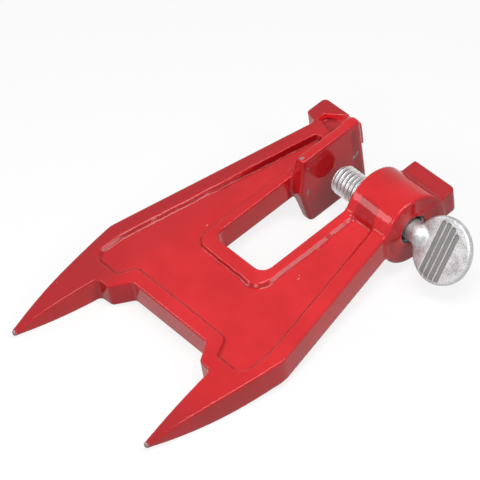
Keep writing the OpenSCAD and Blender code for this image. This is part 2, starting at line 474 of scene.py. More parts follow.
def laid_down(points: Array, angle: float) -> Array:
    """Turns points about the X axis.

    Args:
        points: The points.
        angle: The angle in radians.

    Returns:
        The turned points.
    """
    c, s = math.cos(angle), math.sin(angle)
    x, y, z = points.T
    return np.stack([x, y * c - z * s, y * s + z * c], axis=1)


def new_mesh(name: str, points: Array, faces: Array) -> bpy.types.Mesh:
    """Makes a smooth mesh from points in millimetres.

    Args:
        name: Name of the mesh.
        points: Its points.
        faces: Point numbers of its faces, the same count for each.

    Returns:
        The mesh, in metres.
    """
    mesh = bpy.data.meshes.new(name)
    sides = faces.shape[1]
    mesh.vertices.add(len(points))
    mesh.vertices.foreach_set("co", (points * MM).astype(np.float32).ravel())
    mesh.loops.add(faces.size)
    mesh.loops.foreach_set("vertex_index", faces.astype(np.int32).ravel())
    mesh.polygons.add(len(faces))
    mesh.polygons.foreach_set("loop_start", np.arange(0, faces.size, sides, dtype=np.int32))
    mesh.update(calc_edges=True)
    mesh.validate()
    mesh.polygons.foreach_set("use_smooth", np.ones(len(mesh.polygons), bool))
    return mesh


def tell(piece: bpy.types.Object, name: str, values: Array) -> None:
    """Stores one number for each point of a piece, where its material can read it.

    Args:
        piece: The piece.
        name: Name of the attribute.
        values: Numbers of the first points; the others get 0.
    """
    numbers = np.zeros(len(piece.data.vertices), np.float32)
    numbers[:len(values)] = values
    piece.data.attributes.new(name, "FLOAT", "POINT").data.foreach_set("value", numbers)


def new_object(name: str, data: bpy.types.ID) -> bpy.types.Object:
    """Makes an object of a mesh, a lamp or a camera, and links it to the scene.

    Args:
        name: Name of the object.
        data: What it shows.

    Returns:
        The object.
    """
    thing = bpy.data.objects.new(name, data)
    bpy.context.scene.collection.objects.link(thing)
    return thing


def joined(
    name: str,
    meshes: Sequence[bpy.types.Mesh],
    materials: Sequence[bpy.types.Material],
) -> bpy.types.Object:
    """Makes one object of several meshes, each with its own material.

    Args:
        name: Name of the object.
        meshes: The meshes, which are used up.
        materials: One material for each mesh.

    Returns:
        The object, linked to the scene.
    """
    whole = bmesh.new()
    for number, mesh in enumerate(meshes):
        mesh.polygons.foreach_set("material_index", np.full(len(mesh.polygons), number, np.int32))
        whole.from_mesh(mesh)
        bpy.data.meshes.remove(mesh)
    result = bpy.data.meshes.new(name)
    whole.to_mesh(result)
    whole.free()
    for material in materials:
        result.materials.append(material)
    return new_object(name, result)


class Sig:
    """A value on its way through a node tree: an expression on it adds Math nodes."""

    def __init__(self, graph: "Graph", socket: bpy.types.NodeSocket | None) -> None:
        """Wraps an output socket of a tree, or none where a node has no output."""
        self.graph = graph
        self.socket = socket

    def math(self, operation: str, *values: Any) -> "Sig":
        """Adds a Math node of one operation on the given values."""
        return self.graph.add("ShaderNodeMath", {"operation": operation}, dict(enumerate(values)))

    def __add__(self, other: Any) -> "Sig":
        """Sum."""
        return self.math("ADD", self, other)

    def __radd__(self, other: Any) -> "Sig":
        """Sum with a number on the left."""
        return self.math("ADD", other, self)

    def __sub__(self, other: Any) -> "Sig":
        """Difference."""
        return self.math("SUBTRACT", self, other)

    def __rsub__(self, other: Any) -> "Sig":
        """Difference with a number on the left."""
        return self.math("SUBTRACT", other, self)

    def __mul__(self, other: Any) -> "Sig":
        """Product."""
        return self.math("MULTIPLY", self, other)

    def __rmul__(self, other: Any) -> "Sig":
        """Product with a number on the left."""
        return self.math("MULTIPLY", other, self)

    def __truediv__(self, other: Any) -> "Sig":
        """Quotient."""
        return self.math("DIVIDE", self, other)

    def least(self, other: Any) -> "Sig":
        """The smaller of two values."""
        return self.math("MINIMUM", self, other)

    def most(self, other: Any) -> "Sig":
        """The larger of two values."""
        return self.math("MAXIMUM", self, other)

    def size(self) -> "Sig":
        """The value without its sign."""
        return self.math("ABSOLUTE", self)

    def fraction(self) -> "Sig":
        """What is left after whole numbers are taken away."""
        return self.math("FRACT", self)

    def sine(self) -> "Sig":
        """Sine of an angle in radians."""
        return self.math("SINE", self)

    def cosine(self) -> "Sig":
        """Cosine of an angle in radians."""
        return self.math("COSINE", self)

    def root(self) -> "Sig":
        """Square root."""
        return self.math("SQRT", self)

    def clamped(self) -> "Sig":
        """The value, kept between 0 and 1."""
        return self.most(0.0).least(1.0)

    def above(self, other: Any) -> "Sig":
        """1 where the value is above another, and 0 elsewhere."""
        return self.math("GREATER_THAN", self, other)

    def across(self, span: Span) -> "Sig":
        """Rises smoothly from 0 to 1 while the value goes across the span."""
        inputs = {"Value": self, "From Min": span[0], "From Max": span[1]}
        return self.graph.add("ShaderNodeMapRange", {"interpolation_type": "SMOOTHSTEP"}, inputs)


class Graph:
    """A node tree, for a material or for geometry, that is built by code."""

    # Numbers of a Mix node's sockets for colours: the share, the two colours and the result
    MIX_SHARE, MIX_FIRST, MIX_SECOND, MIX_RESULT = 0, 6, 7, 2

    def __init__(self, tree: bpy.types.NodeTree) -> None:
        """Starts from an empty tree."""
        self.tree = tree
        tree.nodes.clear()

    def add(
        self,
        kind: str,
        settings: Mapping[str, Any] | None = None,
        inputs: Mapping[int | str, Any] | None = None,
        output: int | str = 0,
    ) -> Sig:
        """Adds one node.

        Args:
            kind: Type of the node.
            settings: Its own settings, which are set first.
            inputs: Values or links of its sockets, by name or number.
            output: Name or number of the output that is used.

        Returns:
            That output.
        """
        node = self.tree.nodes.new(kind)
        for key, value in (settings or {}).items():
            setattr(node, key, value)
        for key, value in (inputs or {}).items():
            if isinstance(value, Sig):
                self.tree.links.new(value.socket, node.inputs[key])
            else:
                node.inputs[key].default_value = value
        return Sig(self, node.outputs[output]) if len(node.outputs) else Sig(self, None)

    def colours(self, share: Any, first: Any, second: Any) -> Sig:
        """Mixes two colours by a share from 0 to 1."""
        inputs = {self.MIX_SHARE: share, self.MIX_FIRST: first, self.MIX_SECOND: second}
        return self.add("ShaderNodeMix", {"data_type": "RGBA"}, inputs, self.MIX_RESULT)

    def noise(self, where: Sig, scale: float, detail: float = 2.0, rough: float = 0.5) -> Sig:
        """Noise from 0 to 1 at points in metres, with a scale in lumps per metre."""
        inputs = {"Vector": where, "Scale": scale, "Detail": detail, "Roughness": rough}
        return self.add("ShaderNodeTexNoise", None, inputs, "Fac")

    def object_place(self) -> Sig:
        """Object coordinates, in metres."""
        return self.add("ShaderNodeTexCoord", output="Object")

    def attribute(self, name: str) -> Sig:
        """The number that each point was given under a name."""
        return self.add("ShaderNodeAttribute", {"attribute_name": name}, None, "Fac")

    def coordinate(self, vector: Sig, axis: str) -> Sig:
        """One coordinate of a vector, by the letter of its axis."""
        return self.add("ShaderNodeSeparateXYZ", None, {0: vector}, axis)

    def vectors(self, operation: str, *values: Any, output: str = "Vector") -> Sig:
        """Adds a Vector Math node of one operation on the given vectors."""
        return self.add("ShaderNodeVectorMath", {"operation": operation}, dict(enumerate(values)), output)

    def bump(self, height: Sig) -> Sig:
        """Tilts the surface by a height in millimetres."""
        return self.add("ShaderNodeBump", None, {"Strength": 1.0, "Distance": MM, "Height": height}, "Normal")

    def surface(self, inputs: Mapping[str, Any]) -> None:
        """Ends a material in a Principled shader with the given inputs."""
        shader = self.add("ShaderNodeBsdfPrincipled", None, inputs, "BSDF")
        self.add("ShaderNodeOutputMaterial", None, {"Surface": shader})


def new_material(name: str) -> tuple[bpy.types.Material, Graph]:
    """Makes a material.

    Args:
        name: Name of the material.

    Returns:
        The material, and its empty tree.
    """
    material = bpy.data.materials.new(name)
    material.use_nodes = True
    return material, Graph(material.node_tree)


def opaque(colour: Colour) -> tuple[float, float, float, float]:
    """A colour with full alpha."""
    return (*colour, 1.0)


class Flaw(Enum):
    """What shows where the enamel isn't whole, and one painted reflection."""

    METAL = "bare grey metal"
    # Painted reflection: a pale sheen on a wall.
    PAINTED_SHEEN = "thin pale enamel"
    DUST = "a pale speck"
    RUST = "a rust spot"
    PIT = "a dark pinhole"


@dataclass(frozen=True)
class Spot:
    """A small flaw of the enamel, or the painted reflection, as an ellipsoid in the plane of the plate."""

    kind: Flaw
    place: Point
    reach: Point
    ragged: float = 0.5


@dataclass(frozen=True)
class Enamel:
    """Thick gloss enamel over a rough casting, with a few chips and specks.

    It carries painted shade in hollows, along the web's walls and on the parts that get less light, a painted
    highlight on ridges and edges, and one painted reflection. The scales count lumps in a metre, the heights
    are in millimetres, and a span says where a colour starts to show and where it is full.
    """

    datum: Datum
    name: str = "red_enamel"
    colour: Colour = (0.74, 0.019, 0.025)
    deep: Colour = (0.63, 0.012, 0.016)
    hollow_shade: Colour = (0.3, 0.004, 0.007)
    painted_light: Colour = (0.8, 0.045, 0.05)
    metal: Colour = (0.27, 0.265, 0.25)
    pale: Colour = (0.62, 0.42, 0.42)
    dust: Colour = (0.8, 0.5, 0.47)
    rust: Colour = (0.5, 0.13, 0.03)
    pit: Colour = (0.12, 0.01, 0.008)
    sparse: Colour = (0.47, 0.014, 0.02)
    roughness: float = 0.07
    cloudy_roughness: float = 0.04
    ior: float = 1.34
    cloud_scale: float = 45.0
    lump_scale: float = 190.0
    pimple_scale: float = 210.0
    flow_scale: float = 420.0
    peel_scale: float = 1100.0
    ragged_scale: float = 1500.0
    lump_height: float = 0.1
    flow_height: float = 0.035
    peel_height: float = 0.004
    pimple_height: float = 0.03
    colour_span: Span = (0.3, 0.72)
    shaded_clouds: tuple[float, float] = (0.75, 0.5)
    hollow_shade_span: Span = (0.06, 0.5)
    hollow_shade_sway: float = 0.2
    highlight_span: Span = (0.3, 0.9)
    highlight_sway: float = 0.3
    highlight_share: float = 0.55
    pimple_span: Span = (0.02, 0.06)
    pimple_rarity: float = 0.95
    pimple_share: float = 0.4
    spot_edge: Span = (0.0, 0.18)
    spot_share: float = 0.5
    chip_share: float = 0.85
    chip_depth: float = 0.08
    chip_grain: float = 0.03
    chip_roughness: float = 0.35
    chip_metallic: float = 0.6
    spots: tuple[Spot, ...] = (
        Spot(Flaw.METAL, (-2.3, -12.8, 17.0), (0.75, 1.0, 0.5), 1.2),
        Spot(Flaw.METAL, (0.0, 11.7, -0.6), (0.8, 1.1, 0.9), 0.9),
        Spot(Flaw.METAL, (0.0, 13.6, 0.3), (0.8, 0.8, 1.1), 0.9),
        Spot(Flaw.METAL, (0.0, -12.4, 12.0), (0.6, 0.5, 0.45), 0.6),
        Spot(Flaw.METAL, (0.0, -14.0, -0.7), (0.6, 0.55, 1.7), 0.9),
        Spot(Flaw.METAL, (-29.3, -142.7, 3.2), (1.5, 2.3, 1.7), 0.7),
        Spot(Flaw.METAL, (48.9, -142.7, 3.2), (1.5, 2.5, 1.7), 0.7),
        # Painted reflection on the jaw block's slot wall beyond the jaw.
        Spot(Flaw.PAINTED_SHEEN, (-5.0, 21.5, 0.8), (0.9, 1.0, 8.2), 0.5),
        Spot(Flaw.DUST, (-13.0, -55.7, 5.2), (0.2, 0.65, 0.6), 0.6),
        Spot(Flaw.DUST, (33.9, -50.2, 5.2), (0.22, 0.7, 0.6), 0.6),
        Spot(Flaw.DUST, (32.9, -48.9, 5.2), (0.2, 0.3, 0.5), 0.4),
        Spot(Flaw.RUST, (28.6, -34.8, 5.6), (0.55, 0.9, 0.8), 1.2),
        Spot(Flaw.PIT, (31.5, -18.2, 5.3), (0.4, 0.5, 0.8), 0.6),
        Spot(Flaw.PIT, (37.3, -22.6, 6.9), (0.35, 0.4, 0.6), 0.6),
        Spot(Flaw.PIT, (40.4, -21.0, 6.9), (0.35, 0.6, 0.6), 0.6),
    )

    def mask(self, graph: Graph, where: Sig, wobble: Sig, spot: Spot) -> Sig:
        """1 inside a spot and 0 outside it, with a ragged edge.

        Args:
            graph: The tree to build in.
            where: Object coordinates.
            wobble: Noise that makes the edge ragged.
            spot: The spot.

        Returns:
            The mask.
        """
        place = laid_down(np.array([spot.place]), self.datum.tilt)[0] * MM
        scale = tuple(1 / (reach * MM) for reach in spot.reach)
        scaled = graph.vectors("MULTIPLY", graph.vectors("SUBTRACT", where, tuple(place)), scale)
        far = graph.vectors("LENGTH", scaled, output="Value")
        return (1 + spot.ragged * wobble - far).across(self.spot_edge)

    def build(self) -> bpy.types.Material:
        """Makes the material, which reads two numbers of each point: how hollow it is, with painted shade,
        and where more shade is painted.

        Returns:
            The material.
        """
        material, graph = new_material(self.name)
        where = graph.object_place()
        relief = graph.attribute("relief")
        clouds = graph.noise(where, self.cloud_scale, detail=3)
        orange_peel = graph.noise(where, self.peel_scale)
        lumps = graph.noise(where, self.lump_scale)
        flow = graph.noise(where, self.flow_scale)
        ragged = (graph.noise(where, self.ragged_scale, detail=3) - 0.5) * 2
        colour = graph.colours(clouds.across(self.colour_span), opaque(self.deep), opaque(self.colour))
        # Painted shade: a darker red where the casting gets less light.
        least, more = self.shaded_clouds
        sparse = graph.attribute("thin_coat") * (least + more * clouds).least(1.0)
        colour = graph.colours(sparse, colour, opaque(self.sparse))
        # Painted shade: a darker red in hollows and creases and along the web's walls.
        hollow_shade = (relief + self.hollow_shade_sway * (flow - 0.5)).across(self.hollow_shade_span)
        colour = graph.colours(hollow_shade, colour, opaque(self.hollow_shade))
        # Painted highlight: a paler red on ridges and edges.
        painted_light = (self.highlight_sway * (flow - 0.5) - relief).across(self.highlight_span)
        colour = graph.colours(painted_light * self.highlight_share, colour, opaque(self.painted_light))
        pimple = self.pimples(graph, where)
        colour = graph.colours(pimple * self.pimple_share, colour, opaque(self.dust))
        shades = {
            Flaw.METAL: self.metal,
            Flaw.PAINTED_SHEEN: self.pale,
            Flaw.DUST: self.dust,
            Flaw.RUST: self.rust,
            Flaw.PIT: self.pit,
        }
        bare: Any = 0.0
        for spot in self.spots:
            mask = self.mask(graph, where, ragged, spot)
            chipped = spot.kind is Flaw.METAL
            share = mask * (self.chip_share if chipped else self.spot_share)
            colour = graph.colours(share, colour, opaque(shades[spot.kind]))
            if chipped:
                bare = mask.most(bare)
        height = self.lump_height * lumps + self.flow_height * flow + self.peel_height * orange_peel
        height = height + self.pimple_height * pimple - self.chip_depth * bare
        height = height + self.chip_grain * bare * ragged
        graph.surface({
            "Base Color": colour,
            "Roughness": self.roughness + self.cloudy_roughness * clouds + self.chip_roughness * bare,
            "Metallic": self.chip_metallic * bare,
            "IOR": self.ior,
            "Normal": graph.bump(height),
        })
        return material

    def pimples(self, graph: Graph, where: Sig) -> Sig:
        """Small specks in a few of the cells that space is divided into.

        Args:
            graph: The tree to build in.
            where: Object coordinates.

        Returns:
            1 on a speck and 0 elsewhere.
        """
        cells = {"Vector": where, "Scale": self.pimple_scale}
        distance = graph.add("ShaderNodeTexVoronoi", None, cells, "Distance")
        shade = graph.add("ShaderNodeTexVoronoi", None, cells, "Color")
        chance = graph.add("ShaderNodeSeparateColor", None, {0: shade}, 0)
        return (1 - distance.across(self.pimple_span)) * chance.above(self.pimple_rarity)


@dataclass(frozen=True)
class Zinc:
    """Bright zinc plating on steel, dull and darker in its hollows.

    The hollows are where the points' own number says so, or, on a thread, between two radii.
    """

    name: str
    colour: Colour = (0.9, 0.91, 0.92)
    dull: Colour = (0.55, 0.55, 0.56)
    hollow_tone: Colour = (0.09, 0.085, 0.08)
    roughness: float = 0.26
    roughening: float = 0.2
    grain: float = 0.02
    grain_scale: float = 2600.0
    cloud_height: float = 0.02
    cloud_scale: float = 240.0
    cloud_share: float = 0.5
    grit_share: float = 0.8
    colour_span: Span = (0.32, 0.62)
    hollow_span: Span = (0.15, 0.75)
    hollow_sway: float = 0.3
    dark_radii: Span | None = None
    hollow_tone_share: float = 0.85

    def build(self) -> bpy.types.Material:
        """Makes the material.

        Returns:
            The material.
        """
        material, graph = new_material(self.name)
        where = graph.object_place()
        grit = graph.noise(where, self.grain_scale, detail=3)
        clouds = graph.noise(where, self.cloud_scale, detail=3)
        spread = self.cloud_share * (clouds - 0.5) + self.grit_share * (grit - 0.5)
        clean = (0.5 + spread).across(self.colour_span)
        colour = graph.colours(clean, opaque(self.dull), opaque(self.colour))
        if self.dark_radii is None:
            hollow = (graph.attribute("relief") + self.hollow_sway * spread).across(self.hollow_span)
        else:
            y = graph.coordinate(where, "Y") / MM
            z = graph.coordinate(where, "Z") / MM
            radius = (y * y + z * z).root()
            hollow = 1 - (radius + self.hollow_sway * spread).across(self.dark_radii)
        colour = graph.colours(hollow * self.hollow_tone_share, colour, opaque(self.hollow_tone))
        graph.surface({
            "Base Color": colour,
            "Metallic": 1.0,
            "Roughness": self.roughness + self.roughening * clouds + self.roughening * hollow,
            "Normal": graph.bump(self.grain * grit + self.cloud_height * clouds),
        })
        return material


@dataclass(frozen=True)
class BareIron:
    """Machined bare iron of the tapped hole, dark with cutting oil."""

    name: str = "bare_iron"
    colour: Colour = (0.34, 0.33, 0.32)
    oil_shade: float = 0.3
    oil_scale: float = 500.0
    oil_span: Span = (0.35, 0.65)
    roughness: float = 0.38
    roughening: float = 0.2

    def build(self) -> bpy.types.Material:
        """Makes the material.

        Returns:
            The material.
        """
        material, graph = new_material(self.name)
        oil = graph.noise(graph.object_place(), self.oil_scale, detail=3)
        dark = tuple(self.oil_shade * part for part in self.colour)
        colour = graph.colours(oil.across(self.oil_span), opaque(dark), opaque(self.colour))
        roughness = self.roughness + self.roughening * oil
        graph.surface({"Base Color": colour, "Metallic": 1.0, "Roughness": roughness})
        return material


@dataclass(frozen=True)
class Helix:
    """A screw thread about the X axis, grown by Geometry Nodes.

    A grid of rows is wound along the thread, so that its rows follow the crest, and its two ends run on to a
    closing radius: 0 for a screw, and a radius inside the iron for a tapped hole, which also gets an outside.
    """

    name: str
    start: float
    end: float
    pitch: float
    base: float
    depth: float
    lead_in: tuple[float, float]
    lead_out: tuple[float, float]
    closing: float = 0.0
    outer_run: float = 0.0
    phase: float = 0.0
    flat_base: float = 0.166
    flat_crest: float = 0.125
    rows_per_turn: int = 16
    columns: int = 64
    spare_turns: int = 2
    least_run: float = 0.01
    weld: float = 0.002
    sliver: float = 0.001

    def numbers(self) -> dict[str, float]:
        """The tree's inputs, in millimetres and turns.

        Returns:
            The numbers, by name.
        """
        turns_before = math.floor(self.start / self.pitch - self.spare_turns - self.outer_run)
        turns = math.ceil(self.end / self.pitch + 1) - turns_before
        return {
            "Start": self.start,
            "End": self.end,
            "Pitch": self.pitch,
            "Base": self.base,
            "Depth": self.depth,
            "Lead In At Start": self.lead_in[0],
            "Lead In Slope": self.lead_in[1],
            "Lead Out At End": self.lead_out[0],
            "Lead Out Slope": self.lead_out[1],
            "Closing Radius": self.closing,
            "Outer Run": self.outer_run,
            "Phase": self.phase,
            "Flat Base": self.flat_base,
            "Flat Crest": self.flat_crest,
            "Turns Before": turns_before,
            "Turns": turns,
        }

    def tree(self, material: bpy.types.Material) -> tuple[bpy.types.NodeTree, dict[str, str]]:
        """Builds the node tree.

        Args:
            material: The material that it sets.

        Returns:
            The tree, and the identifier of each named input.
        """
        tree = bpy.data.node_groups.new(self.name, "GeometryNodeTree")
        graph = Graph(tree)
        names = self.numbers()
        tree.interface.new_socket("Geometry", in_out="OUTPUT", socket_type="NodeSocketGeometry")
        keys = {
            name: tree.interface.new_socket(name, in_out="INPUT", socket_type="NodeSocketFloat").identifier
            for name in names
        }
        group = tree.nodes.new("NodeGroupInput")
        value = {name: Sig(graph, group.outputs[name]) for name in names}
        start, end, pitch, outer_run = (value[name] for name in ("Start", "End", "Pitch", "Outer Run"))
        rows = 1 + self.rows_per_turn * int(names["Turns"])
        size = {"Size X": 1.0, "Size Y": 1.0, "Vertices X": self.columns + 1, "Vertices Y": rows}
        grid = graph.add("GeometryNodeMeshGrid", None, size, "Mesh")
        place = graph.add("GeometryNodeInputPosition")
        round_share = graph.coordinate(place, "X") + 0.5
        turn = (graph.coordinate(place, "Y") + 0.5) * value["Turns"]
        along = (value["Turns Before"] + turn + round_share) * pitch
        wave = ((turn + value["Phase"]).fraction() - 0.5).size() * 2
        height = ((wave - value["Flat Base"]) / (1 - value["Flat Base"] - value["Flat Crest"])).clamped()
        kept = along.most(start).least(end)
        height = height.least(value["Lead In At Start"] + (kept - start) * value["Lead In Slope"])
        height = height.least(value["Lead Out At End"] + (end - kept) * value["Lead Out Slope"])
        radius = value["Base"] + value["Depth"] * height
        ends = ((start - along) / pitch).clamped() + ((along - end) / pitch).clamped()
        radius = radius * (1 - ends) + value["Closing Radius"] * ends
        past = (along - start + pitch * (1 + outer_run)) / (pitch * outer_run.most(self.least_run))
        outside = (1 - past.clamped()) * outer_run.least(1)
        angle = round_share * (2 * math.pi)
        wound = graph.add("ShaderNodeCombineXYZ", None, {
            "X": kept + outside * (end - start),
            "Y": radius * angle.cosine(),
            "Z": radius * angle.sine(),
        })
        metres = graph.add("ShaderNodeVectorMath", {"operation": "SCALE"}, {0: wound, "Scale": MM})
        shape = graph.add("GeometryNodeSetPosition", None, {"Geometry": grid, "Position": metres})
        merge = {"Geometry": shape, "Distance": self.weld * MM}
        closed = graph.add("GeometryNodeMergeByDistance", None, merge)
        smooth = graph.add("GeometryNodeSetShadeSmooth", None, {"Geometry": closed})
        real = graph.add("GeometryNodeRealizeInstances", None, {"Geometry": smooth})
        painted = graph.add("GeometryNodeSetMaterial", None, {"Geometry": real, "Material": material})
        graph.add("NodeGroupOutput", None, {"Geometry": painted})
        return tree, keys

    def build(self, material: bpy.types.Material) -> bpy.types.Mesh:
        """Grows the thread and bakes it to a plain closed mesh, whose faces point outwards.

        Args:
            material: Its material.

        Returns:
            The mesh, in metres.
        """
        holder = new_object(self.name, bpy.data.meshes.new(self.name))
        tree, keys = self.tree(material)
        modifier = holder.modifiers.new(self.name, "NODES")
        modifier.node_group = tree
        for name, number in self.numbers().items():
            modifier[keys[name]] = float(number)
        depsgraph = bpy.context.evaluated_depsgraph_get()
        mesh = bpy.data.meshes.new_from_object(holder.evaluated_get(depsgraph), depsgraph=depsgraph)
        holder.modifiers.clear()
        bpy.data.objects.remove(holder)
        shell = bmesh.new()
        shell.from_mesh(mesh)
        bmesh.ops.dissolve_degenerate(shell, dist=self.sliver * MM, edges=shell.edges)
        if shell.calc_volume(signed=True) < 0:
            bmesh.ops.reverse_faces(shell, faces=shell.faces)
        shell.to_mesh(mesh)
        shell.free()
        mesh.materials.clear()
        return mesh


@dataclass(frozen=True)
class Plate:
    """The flat frame: its outer edge, two spikes, slot, raised rims and recessed web.

    A wall is the width of a sloping side in plan, and a run says where something begins and where it is full.
    The pocket's two lines, measured from the frame's middle and its strike faces, are the top and the foot of
    the slope at the strike block.
    """

    datum: Datum
    shoulder_width: float = 100.8
    shoulder_setback: float = 105.2
    shoulder_radius: float = 15.0
    arm_width: float = 54.2
    jaw_arm_extra: float = 1.3
    thickness: float = 12.0
    edge_radius: float = 0.8
    draft: float = 0.01
    web_depth: float = 1.7
    web_wall: float = 1.5
    web_wall_jaw: float = 2.5
    web_ripple: Ripple = Ripple(0.13, 7.0, 3)
    web_corner: float = 0.6
    web_run_jaw: Span = (-22.0, -28.0)
    groove_extra: float = 1.0
    groove_run_along: Span = (-46.0, -24.0)
    groove_run_across: Span = (0.0, -2.0)
    lip_wall: float = 1.2
    lip_wall_boss: float = 2.7
    lip_run_boss: Span = (6.0, 14.0)
    rim_width: float = 6.3
    notch_rim: float = 5.6
    step_rim: float = 2.4
    web_radius: float = 3.0
    web_lobe_radius: float = 6.0
    lobe_reach: float = 2.3
    lobe_slant: float = 0.3
    bay_margin: float = 3.6
    web_end_boss: float = -7.8
    web_end_jaw: float = 7.4
    slot_width: float = 28.4
    slot_depth: float = 80.8
    slot_offset: float = 1.4
    slot_radius: float = 4.5
    slot_edge: float = 0.3
    lip_width: float = 35.6
    lip_end: float = 6.0
    lip_radius: float = 6.0
    notch_setback: float = 118.2
    notch_width: float = 43.2
    step_width: float = 53.4
    step_depth: float = 7.9
    root_width: float = 65.8
    root_slant: float = 0.6
    notch_radius: float = 1.8
    tip_spread: float = 78.0
    tip_width: float = 2.2
    tip_thickness: float = 2.2
    tip_drop: float = 2.9
    tip_round: float = 0.4
    spike_bulge: float = 0.9
    spike_top_length: float = 34.5
    spike_under_length: float = 46.0
    strike_width: float = 74.6
    strike_depth: float = 10.4
    strike_radius: float = 2.4
    block_rise: float = 1.8
    block_fillet: float = 2.0
    block_inset: float = 1.0
    strike_inset: float = 1.7
    flank_start: float = 4.0
    boss_end: float = 45.6
    pocket_depth: float = 3.0
    pocket_start: float = 10.0
    pocket_slant: float = 0.184
    pocket_top: Line = ((-30.7, -6.3), (-23.8, -0.2))
    pocket_foot: Line = ((-30.1, -7.3), (-24.4, -4.1))
    pocket_lip: float = 3.6
    pocket_lip_fall: float = 0.4
    pocket_side: float = 31.1
    pocket_wall: float = 1.2
    least_fall: float = 0.1
    past: float = 3.0
    edge_share: float = 0.22
    edge_steps: int = 12

    @property
    def top(self) -> float:
        """Level of the top of the rims."""
        return self.datum.level + self.thickness / 2

    @property
    def bottom(self) -> float:
        """Level of the underside of the rims."""
        return self.datum.level - self.thickness / 2

    @property
    def shoulder_y(self) -> float:
        """Place of the shoulders along the frame."""
        return self.datum.strike_y - self.shoulder_setback

    @property
    def notch_y(self) -> float:
        """Place of the notch's floor along the frame."""
        return self.datum.strike_y - self.notch_setback

    @property
    def slot_end_y(self) -> float:
        """Place of the closed end of the slot."""
        return self.datum.strike_y - self.slot_depth

    @property
    def slot_low_x(self) -> float:
        """Slot wall on the jaw's side."""
        return self.datum.middle_x - self.slot_offset - self.slot_width / 2

    @property
    def slot_high_x(self) -> float:
        """Slot wall on the boss's side."""
        return self.slot_low_x + self.slot_width

    @property
    def strike_back(self) -> float:
        """Inner face of the strike blocks."""
        return self.datum.strike_y - self.strike_depth

    def arm_half(self, y: float, arm: Arm = Arm.BOSS) -> float:
        """Distance from the frame's middle to the outer edge of an arm.

        Args:
            y: Place along the arm.
            arm: Which arm.

        Returns:
            The distance.
        """
        share = (self.datum.strike_y - y) / self.shoulder_setback
        end = self.arm_width / 2 + (self.jaw_arm_extra if arm is Arm.JAW else 0.0)
        return end + (self.shoulder_width / 2 - end) * share

    def spike_edge(self) -> list[Corner]:
        """Outer edge of a spike: a shallow arc from the shoulder to the tip.

        Returns:
            Its corners, after the shoulder.
        """
        start = np.array([self.shoulder_width / 2, self.shoulder_y])
        end = np.array([(self.tip_spread + self.tip_width) / 2, self.datum.tip_y + self.tip_width / 2])
        out = np.array([start[1] - end[1], end[0] - start[0]]) / np.linalg.norm(end - start)
        shares = [step / self.edge_steps for step in range(1, self.edge_steps + 1)]
        points = [start + (end - start) * t + out * self.spike_bulge * 4 * t * (1 - t) for t in shares]
        return [Corner(*point) for point in points]

    def outer(self) -> Outline:
        """Outer edge of the frame, without the strike blocks.

        Returns:
            The outline.
        """
        inner_tip = (self.tip_spread - self.tip_width) / 2
        half = [
            Corner(self.arm_half(self.strike_back), self.strike_back),
            Corner(self.shoulder_width / 2, self.shoulder_y, self.shoulder_radius),
            *self.spike_edge(),
            Corner(inner_tip + self.tip_width - self.tip_round, self.datum.tip_y, self.tip_round / 2),
            Corner(inner_tip + self.tip_round, self.datum.tip_y, self.tip_round / 2),
            Corner(self.root_width / 2, self.notch_y - self.step_depth - self.root_slant, self.notch_radius),
            Corner(self.step_width / 2, self.notch_y - self.step_depth, self.notch_radius),
            Corner(self.notch_width / 2, self.notch_y, self.notch_radius),
        ]
        middle = self.datum.middle_x
        right = [Corner(middle + c.x, c.y, c.radius) for c in half]
        left = [Corner(middle - c.x, c.y, c.radius) for c in reversed(half[1:])]
        last = Corner(middle - self.arm_half(self.strike_back, Arm.JAW), self.strike_back)
        return Outline([*right, *left, last])

    def blocks(self) -> list[Outline]:
        """The two strike blocks at the ends of the arms.

        Returns:
            Their outlines, the jaw's side first.
        """
        middle, strike_y = self.datum.middle_x, self.datum.strike_y
        left, right = middle - self.strike_width / 2, middle + self.strike_width / 2
        foot = self.strike_back - self.block_rise
        inset = self.slot_high_x + self.strike_inset
        jaw_block = Outline([
            Corner(self.slot_low_x, strike_y),
            Corner(left, strike_y, self.strike_radius),
            Corner(left, self.strike_back, self.strike_radius / 2),
            Corner(middle - self.arm_half(foot, Arm.JAW) + self.block_inset, foot),
            Corner(self.slot_low_x, foot),
        ])
        boss_block = Outline([
            Corner(inset, strike_y, self.strike_radius / 2),
            Corner(inset, 0),
            Corner(self.boss_end, 0),
            Corner(self.boss_end, self.flank_start, self.strike_radius / 2),
            Corner(right, self.strike_back, self.strike_radius / 2),
            Corner(right, strike_y, self.strike_radius),
        ])
        return [jaw_block, boss_block]

    def slot(self) -> Outline:
        """The slot between the arms."""
        return self._trough(self.slot_width / 2, self.slot_end_y, self.slot_radius)

    def lip(self) -> Outline:
        """Outer edge of the raised lip around the slot."""
        return self._trough(self.lip_width / 2, self.slot_end_y - self.lip_end, self.lip_radius)

    def _trough(self, half: float, end: float, radius: float) -> Outline:
        """An outline around the slot's middle, from a closed end to past the strike faces.

        Args:
            half: Half of its width.
            end: Place of its closed end along the frame.
            radius: Radius of the two corners there.

        Returns:
            The outline.
        """
        middle = self.slot_low_x + self.slot_width / 2
        far = self.datum.strike_y + self.past
        return Outline([
            Corner(middle - half, far),
            Corner(middle - half, end, radius),
            Corner(middle + half, end, radius),
            Corner(middle + half, far),
        ])

    def web(self) -> Outline:
        """Outer edge of the recessed web, along the rims and into the spikes.

        Returns:
            The outline.
        """
        middle = self.datum.middle_x
        lobe = self.notch_y - self.lobe_reach

